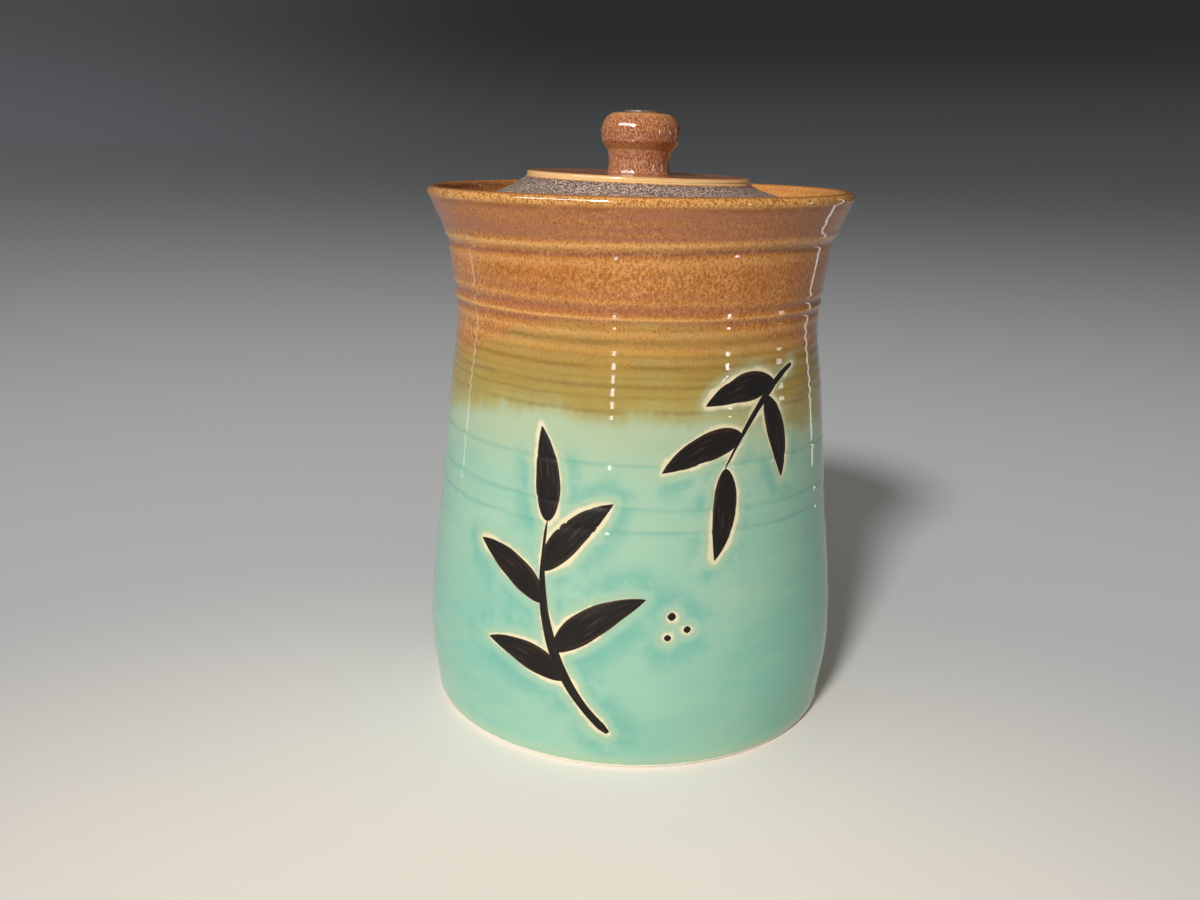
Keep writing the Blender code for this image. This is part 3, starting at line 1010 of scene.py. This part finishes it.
def vessel_glaze(sizes, tints):
    """Rust glaze with mauve veils over celadon, mixed at the waist, with halos and pools at the painting."""
    finish = Finish("Vessel glaze")
    side, behind, _ = finish.round_axis()
    level = finish.level()
    big = finish.clouds(45)
    blotch = finish.clouds(14, 3, 0.55)
    oats = finish.clouds(1.15, 2, 0.7, (1, 1, 0.6))
    grain = finish.clouds(0.6, 2, 0.7, (1, 1, 0.6))
    smears = finish.clouds(7, 3, 0.6, (0.25, 0.25, 1))
    rings = finish.clouds(2.0, 3, 0.6, (0.045, 0.045, 1))
    runs = finish.clouds(3.2, 3, 0.6, (1, 1, 0.22))
    wave = level + blotch.swing(1.6) + oats.swing(2.2)

    # Upper glaze: a mottle of rust and gold, with mauve where it lies thick
    thick = big.rising(0.38, 0.62)
    flare = level.rising(*FLARE_START) * level.falling(*FLARE_END)
    veil = flare * (rings.swing(3.4) + 0.85) + blotch.above(0.50, 2.2) * 0.30
    veil = veil + finish.bands(wave, side, MAUVE_BANDS)
    shine = finish.bands(level + blotch.swing(0.7), side, GOLD_BANDS)
    lip = level.rising(*LIP_START)
    eave = finish.band(level + blotch.swing(2), 217.9, 0.8)
    upper = finish.coats(
        tints.rust,
        (tints.gold, oats.above(0.41, 4.5) * (thick * 0.30 + 0.43) + blotch.swing(0.5)),
        (tints.mauve, veil * (1.75 - oats * 1.6)),
        (tints.plum, finish.bands(wave, side, PLUM_BANDS) * (2.0 - oats * 2.1)),
        (tints.gold, shine * (runs + 0.45) + lip * 0.9),
        (tints.freckle, grain.below(0.48, 9.0) * (lip * 0.30 + 0.60)),
        (tints.amber, oats.above(0.50, 8.0) * lip * 0.85),
        (tints.amber, eave * blotch.rising(0.35, 0.6) * 0.8),
        (tints.freckle, finish.specks(2.4, 0.42, 0.5) * 0.75),
    )

    # Mixed band
    drift = big.swing(10) + blotch.swing(7) + runs.swing(4)
    straw = finish.mix(tints.olive, tints.tan, (level + drift * 2.2).rising(*TAN_START))
    mixed = finish.coats(
        tints.reed,
        (straw, (level + drift * 1.6).rising(*OLIVE_START)),
        (tints.pale, smears.above(0.52, 3.0) * 0.22),
        (tints.rust, smears.below(0.5, 3.5) * level.rising(146, 168) * 0.45),
        (finish.mix(tints.umber, tints.reed, 0.4), blotch.above(0.47, 4.0) * (side * 0.3 + 0.4)),
        (tints.umber, finish.bands(wave, side, UMBER_BANDS) * smears.rising(0.24, 0.58) * 0.85),
        (tints.umber, rings.above(0.50, 3.2) * 0.26),
        (tints.gold, shine * 0.8),
        (tints.freckle, grain.below(0.47, 8.0) * level.rising(150, 172) * 0.5),
    )

    # Lower glaze
    depth = level.falling(38, 122) * 0.56 + blotch.swing(0.5) + big.swing(0.9) + smears.swing(0.8)
    # deeper turquoise towards both sides; the extra depth at the right is painted shade
    depth = depth + side * side * 0.3 + side.above(0.25, 1.2) * 0.45
    marks = [(centre, tilt, POOL_WIDTH, POOL_STRENGTH, POOL_FADE) for centre, tilt, _, _ in PALE_GROOVES]
    lower = finish.coats(
        tints.celadon,
        (tints.turquoise, depth),
        (tints.pale, level.rising(*PALE_START) * (smears * 0.6 + 0.6)),
        (tints.pale, level.falling(2, 9) * 0.55),
        (tints.pool, finish.bands(level, side, marks) * (smears.rising(0.3, 0.6) * 0.7 + 0.15)),
    )

    # Where one glaze runs into the next
    upper_edge = level + behind.least(0.55) * 30 + drift
    lower_edge = level + behind.least(0.9) * 14 + side * 3.2 + drift * 1.25
    upper = finish.mix(mixed, upper, upper_edge.rising(*UPPER_GLAZE_EDGE))

    # Bare line and pooled glaze round the painting
    gap = finish.guide("leaf_gap")
    rough_gap = gap + grain.swing(0.8) + blotch.swing(7) + big.swing(4)
    pool = gap.rising(2, 5) * gap.falling(5, 15) * blotch.rising(0.38, 0.62)

    # Inside of the flare, the bare ledge, the liner glaze and the bare foot. The inside of the flare has
    # painted shade at the left and painted light towards the right.
    inner = finish.guide("clay_side")
    inside = finish.coats(
        # painted shade: dark amber and plum at the left; painted light: rust and gold rising towards the
        # right
        finish.mix(tints.amber, tints.plum, 0.5),
        (tints.rust, (side + 1) * 0.5),
        (tints.gold, oats.above(0.46, 5.0) * 0.45 + side.rising(0.2, 0.9) * 0.38),
        (tints.freckle, grain.below(0.48, 9.0) * 0.35),
    )
    height = sizes.height / MM
    crest = level.rising(height - 0.8, height - 0.3)
    ledge_level = height - sizes.ledge_depth / MM
    ledge = inner.rising(*INSIDE_START) * level.falling(ledge_level + 0.4, ledge_level + 0.8)
    foot_line = level + runs.swing(1.2)
    bare = foot_line.falling(1.7, 2.3).most(ledge * inner.falling(*LINER_START))

    tint = finish.coats(
        lower,
        (upper, lower_edge.rising(*LOWER_GLAZE_EDGE)),
        (tints.pool, pool * level.falling(120, 138) * 0.55),
        (tints.pale, rough_gap.falling(0, 5) * 0.6),
        (tints.halo, rough_gap.falling(-0.3, 1.35) * 0.85),
        (tints.freckle, finish.specks(17, 0.33, 0.30) * 0.7),
        (inside, inner.rising(*INSIDE_START) * (1 - crest)),
        (finish.mix(tints.plum, tints.rust, grain), crest * 0.65),
        (finish.mix(tints.celadon, tints.pale, blotch), inner.rising(*LINER_START)),
        (tints.clay, bare),
    )
    matt = bare.most(gap.falling(0.4, 1.3) * 0.4)
    rough = matt * 0.5 + shine * 0.10 + (blotch * 0.03 + 0.04)
    peel = finish.bump(finish.clouds(11, 1), 0.035)
    pits = finish.bump(finish.clouds(2.0), 0.006, peel)
    edge = finish.bump(gap.rising(0.2, 1.8), 0.10, pits)
    return finish.done(tint, Roughness=rough, Normal=edge)


def lid_glaze(tints):
    """Gloss mauve disc, cream edge with painted highlight, matt skirt with painted shade, bare seat."""
    finish = Finish("Lid glaze")
    side, _, radius = finish.round_axis(LID_SHIFT / MM)
    level = finish.level()
    leant = level + side * radius * math.sin(LID_LEAN)
    blotch = finish.clouds(9, 3)
    grain = finish.clouds(0.72, 2, 0.7)
    oats = finish.clouds(1.4, 3, 0.7)
    seat, top = LID_LOW.z / MM, LID_HIGH.z / MM

    skirt = finish.coats(
        tints.skirt,
        (tints.dark_skirt, grain.below(0.50, 14.0)),
        (tints.light_skirt, grain.above(0.51, 14.0)),
        (tints.dark_skirt, oats.below(0.48, 6.0) * 0.45),
        (tints.mauve, oats.above(0.5, 3.0) * 0.25),
        # painted shade: the skirt darker towards the left and the right
        (tints.dark_skirt, side * side * 0.22),
    )
    edge = radius.rising(45.4, 46.2)
    core = finish.band(leant + oats.swing(0.8), top - 1.45, 0.85)
    disc = finish.coats(
        tints.rust,
        (tints.mauve, blotch.rising(0.3, 0.6) * 0.4 + 0.5),
        (tints.light_skirt, grain.above(0.53, 9.0) * 0.38),
        (tints.plum, grain.below(0.49, 8.0) * 0.5),
        (tints.gold, edge * 0.6),
        # cream where the glaze breaks over the disc's edge, brightened as a painted highlight
        (tints.cream, edge * core),
    )
    on_disc = (leant + grain.swing(0.9)).rising(top - 2.9, top - 2.3)
    under = finish.guide("clay_side").rising(*INSIDE_START)
    tint = finish.coats(
        skirt,
        # painted shadow: a darker band on the skirt just under the disc's edge
        (finish.mix(skirt, tints.freckle, 0.5), leant.rising(top - 4.2, top - 2.6) * 0.8),
        (disc, on_disc),
        (finish.mix(tints.clay, tints.light_skirt, grain * 0.5), level.falling(seat + 2.0, seat + 2.6)),
        (finish.mix(tints.celadon, tints.pale, blotch), under),
    )
    rough = 0.58 - on_disc.most(under) * 0.46
    soft = finish.bump(finish.clouds(7, 1), 0.03)
    return finish.done(tint, Roughness=rough, Normal=finish.bump(grain, 0.05, soft))


def knob_glaze(tints):
    """Mauve over rust, speckled, with a golden line in the neck and a bare greyish top button."""
    finish = Finish("Knob glaze")
    level = finish.level()
    grain = finish.clouds(0.62, 3, 0.7, (1, 1, 0.55))
    oats = finish.clouds(1.5, 2, 0.6, (1, 1, 0.55))
    blotch = finish.clouds(7)
    disc, top = LID_HIGH.z / MM, KNOB_HIGH.z / MM
    wave = level + blotch.swing(1.4)
    low = wave.falling(disc + 8.8, disc + 11.0)
    neck = finish.band(wave, disc + 10.2, 1.0)
    button = level.rising(top - 1.35, top - 1.05)
    tint = finish.coats(
        tints.rust,
        (tints.mauve, low * 0.3 + 0.65 + blotch.swing(0.8)),
        (tints.light_skirt, grain.above(0.52, 9.0) * (low * 0.06 + 0.44)),
        (finish.mix(tints.plum, tints.freckle, 0.5), grain.below(0.50, 9.0) * 0.85),
        (tints.gold, oats.above(0.56, 5.0) * 0.25),
        (finish.mix(tints.umber, tints.gold, 0.4), neck * 0.75),
        (tints.gold, level.rising(top - 3.6, top - 1.4) * (oats * 0.5 + 0.12)),
        (finish.mix(tints.dark_skirt, tints.skirt, grain.above(0.36, 4.0) * 0.6 + 0.2), button * 0.95),
    )
    rough = button * 0.3 + (blotch * 0.04 + 0.05)
    soft = finish.bump(finish.clouds(4, 1), 0.05)
    return finish.done(tint, Roughness=rough, Normal=finish.bump(grain, 0.006, soft))


def spray_slip(tints):
    """Matt black slip with dry-brush streaks, browner at its thin edges and tips."""
    finish = Finish("Black slip", IOR=1.45, Specular_IOR_Level=0.35)
    brush = finish.add("ShaderNodeUVMap", {"uv_map": "brush"})
    drawn = finish.add("ShaderNodeMapping", None, {"Vector": brush, "Scale": (0.04, 3.4, 1)})
    inputs = {"Vector": drawn, "Scale": 1.7, "Detail": 4.0, "Roughness": 0.6}
    streaks = finish.add("ShaderNodeTexNoise", None, inputs)
    across = finish.part(brush, "Y").maths("ABSOLUTE")
    grain = finish.clouds(0.7, 3, 0.7)
    thin = across.rising(0.66, 1.0) * 0.65 + streaks.above(0.54, 7.0) * 0.7
    tint = finish.coats(
        tints.ink,
        (tints.thin_ink, thin * (grain + 0.45)),
        (tints.skirt, streaks.above(0.60, 8.0) * grain.rising(0.45, 0.65) * 0.22),
    )
    ridges = finish.bump(streaks + grain * 0.5, 0.04)
    return finish.done(tint, Roughness=streaks * 0.3 + 0.36, Normal=ridges)


def table_finish(settings):
    """Painted pool of light round the jar, and painted shade deepening with distance, like a graded
    backdrop.
    """
    finish = Finish("Pale table", Roughness=0.9, Specular_IOR_Level=0.0)
    offset = finish.vectors("DISTANCE", finish.place, LIGHT_POOL_CENTRE)
    across = finish.part(finish.place, "X") / offset
    painted_falloff_share = (offset * offset * PAINTED_FALLOFF + 1).maths("POWER", -1)
    tint = finish.coats(
        settings.left_table,
        (settings.far_table, across.rising(*LEFT_END)),
        (settings.mid_table, painted_falloff_share),
    )
    return finish.done(finish.mix(settings.table, tint, offset.rising(*LIGHT_POOL_REACH)))


def lay_table(settings):
    shape = bmesh.new()
    bmesh.ops.create_circle(shape, cap_ends=True, segments=96, radius=TABLE_RADIUS)
    mesh = bpy.data.meshes.new("table")
    shape.to_mesh(mesh)
    shape.free()
    mesh.materials.append(table_finish(settings))
    table = bpy.data.objects.new("table", mesh)
    bpy.context.scene.collection.objects.link(table)


def hang_lamp(name, kind, place, target, **about):
    """Hangs a lamp that shines towards the target and isn't seen itself."""
    lamp = bpy.data.lights.new(name, kind)
    for key, value in about.items():
        setattr(lamp, key, value)
    holder = bpy.data.objects.new(name, lamp)
    holder.location = place
    holder.rotation_mode = "QUATERNION"
    holder.rotation_quaternion = (Vector(target) - Vector(place)).to_track_quat("-Z", "Y")
    holder.visible_camera = False
    bpy.context.scene.collection.objects.link(holder)
    return holder


def light_studio(settings):
    """A light tent, bright at the front left and overhead, in front of a plain graded backdrop."""
    world = bpy.data.worlds.new("Light tent")
    world.use_nodes = True
    tent = Nodes(world.node_tree)
    towards = tent.add("ShaderNodeTexCoord", output="Generated")
    right, up = tent.part(towards, "X"), tent.part(towards, "Z")
    facing = tent.vectors("DOT_PRODUCT", towards, Vector(KEY_DIRECTION).normalized())
    roof = up.rising(0.3, 0.9) * settings.top_strength
    bright = facing.rising(0.2, 0.95) * settings.key_strength + roof + FILL_STRENGTH
    tint = tent.mix(LEFT_LIGHT, RIGHT_LIGHT, right.rising(-0.2, 0.8))
    lit = tent.add("ShaderNodeVectorMath", {"operation": "SCALE"}, {0: tint, "Scale": bright})
    rise = up.rising(-0.03, 0.1)
    backdrop = tent.coats(
        settings.horizon,
        (settings.sky, rise),
        (settings.left_sky, right.falling(*LEFT_END) * (1 - rise * 0.4)),
    )
    paths = tent.add("ShaderNodeLightPath").socket.node.outputs
    seen = Wire(tent, paths["Is Camera Ray"])
    for ray in ("Glossy", "Transmission"):
        seen = seen.most(Wire(tent, paths[f"Is {ray} Ray"]))
    background = world.node_tree.nodes["Background"]
    tent.put(background.inputs["Color"], tent.mix(lit, backdrop, seen))
    bpy.context.scene.world = world

    hang_lamp("soft sun", "SUN", SUN_PLACE, (0, 0, 0), energy=settings.sun_strength, angle=SUN_SPREAD)
    for name, place, (wide, high), brightness in MIRRORED_LAMPS:
        about = {"shape": "RECTANGLE", "size": wide, "size_y": high}
        power = brightness * math.pi * wide * high
        hang_lamp(name, "AREA", place, MIRROR_TARGET, energy=power, **about).visible_diffuse = False


def place_camera(settings):
    camera = bpy.data.cameras.new("camera")
    camera.lens = settings.lens
    camera.sensor_width = SENSOR_WIDTH
    camera.clip_start = NEAREST_SEEN
    holder = bpy.data.objects.new("camera", camera)
    level_ahead = Vector((-math.sin(settings.yaw), math.cos(settings.yaw), 0))
    ahead = level_ahead * math.cos(settings.pitch) - Vector((0, 0, math.sin(settings.pitch)))
    roll = Quaternion((0, 0, 1), settings.roll)
    holder.rotation_mode = "QUATERNION"
    holder.rotation_quaternion = ahead.to_track_quat("-Z", "Y") @ roll
    holder.location = (0, -settings.distance, settings.camera_height)
    bpy.context.scene.collection.objects.link(holder)
    bpy.context.scene.camera = holder
    bpy.context.scene.view_settings.view_transform = "Standard"


class JAR_OT_throw_vessel(Operator):
    """Throw the vessel with its flared rim, ledge and foot, and glaze it"""

    bl_idname = "jar.throw_vessel"
    bl_label = "Throw vessel"

    def execute(self, context):
        scene = context.scene
        throw_vessel(scene.jar_vessel, vessel_glaze(scene.jar_vessel, scene.jar_glazes))
        return {"FINISHED"}


class JAR_OT_paint_sprays(Operator):
    """Paint the leaf sprays and berries on the wall in black slip"""

    bl_idname = "jar.paint_sprays"
    bl_label = "Paint sprays"

    def execute(self, context):
        paint_sprays(context.scene.jar_vessel, spray_slip(context.scene.jar_glazes))
        return {"FINISHED"}


class JAR_OT_throw_lid(Operator):
    """Throw and glaze the lid and its knob"""

    bl_idname = "jar.throw_lid"
    bl_label = "Throw lid"

    def execute(self, context):
        sizes, tints = context.scene.jar_lid, context.scene.jar_glazes
        throw_lid(sizes, lid_glaze(tints))
        throw_knob(sizes, knob_glaze(tints))
        return {"FINISHED"}


class JAR_OT_set_studio(Operator):
    """Lay the pale table, hang the lights and place the camera"""

    bl_idname = "jar.set_studio"
    bl_label = "Set studio"

    def execute(self, context):
        settings = context.scene.jar_studio
        lay_table(settings)
        light_studio(settings)
        place_camera(settings)
        return {"FINISHED"}


class JAR_PT_workshop(Panel):
    """Steps that make the jar"""

    bl_idname = "JAR_PT_workshop"
    bl_label = "Cookie jar"
    bl_space_type = "VIEW_3D"
    bl_region_type = "UI"
    bl_category = "Jar"

    def draw(self, context):
        for step in STEPS:
            self.layout.operator(step.bl_idname)


SETTINGS = {
    "jar_vessel": VesselSizes,
    "jar_lid": LidSizes,
    "jar_glazes": GlazeColours,
    "jar_studio": StudioSettings,
}
STEPS = (JAR_OT_throw_vessel, JAR_OT_paint_sprays, JAR_OT_throw_lid, JAR_OT_set_studio)


def register():
    for group in SETTINGS.values():
        bpy.utils.register_class(group)
    for name, group in SETTINGS.items():
        setattr(bpy.types.Scene, name, PointerProperty(type=group))
    for step in (*STEPS, JAR_PT_workshop):
        bpy.utils.register_class(step)


def unregister():
    for step in reversed((*STEPS, JAR_PT_workshop)):
        bpy.utils.unregister_class(step)
    for name in SETTINGS:
        delattr(bpy.types.Scene, name)
    for group in reversed(SETTINGS.values()):
        bpy.utils.unregister_class(group)


def main():
    register()
    bpy.ops.jar.throw_vessel()
    bpy.ops.jar.paint_sprays()
    bpy.ops.jar.throw_lid()
    bpy.ops.jar.set_studio()


if __name__ == "__main__":
    main()
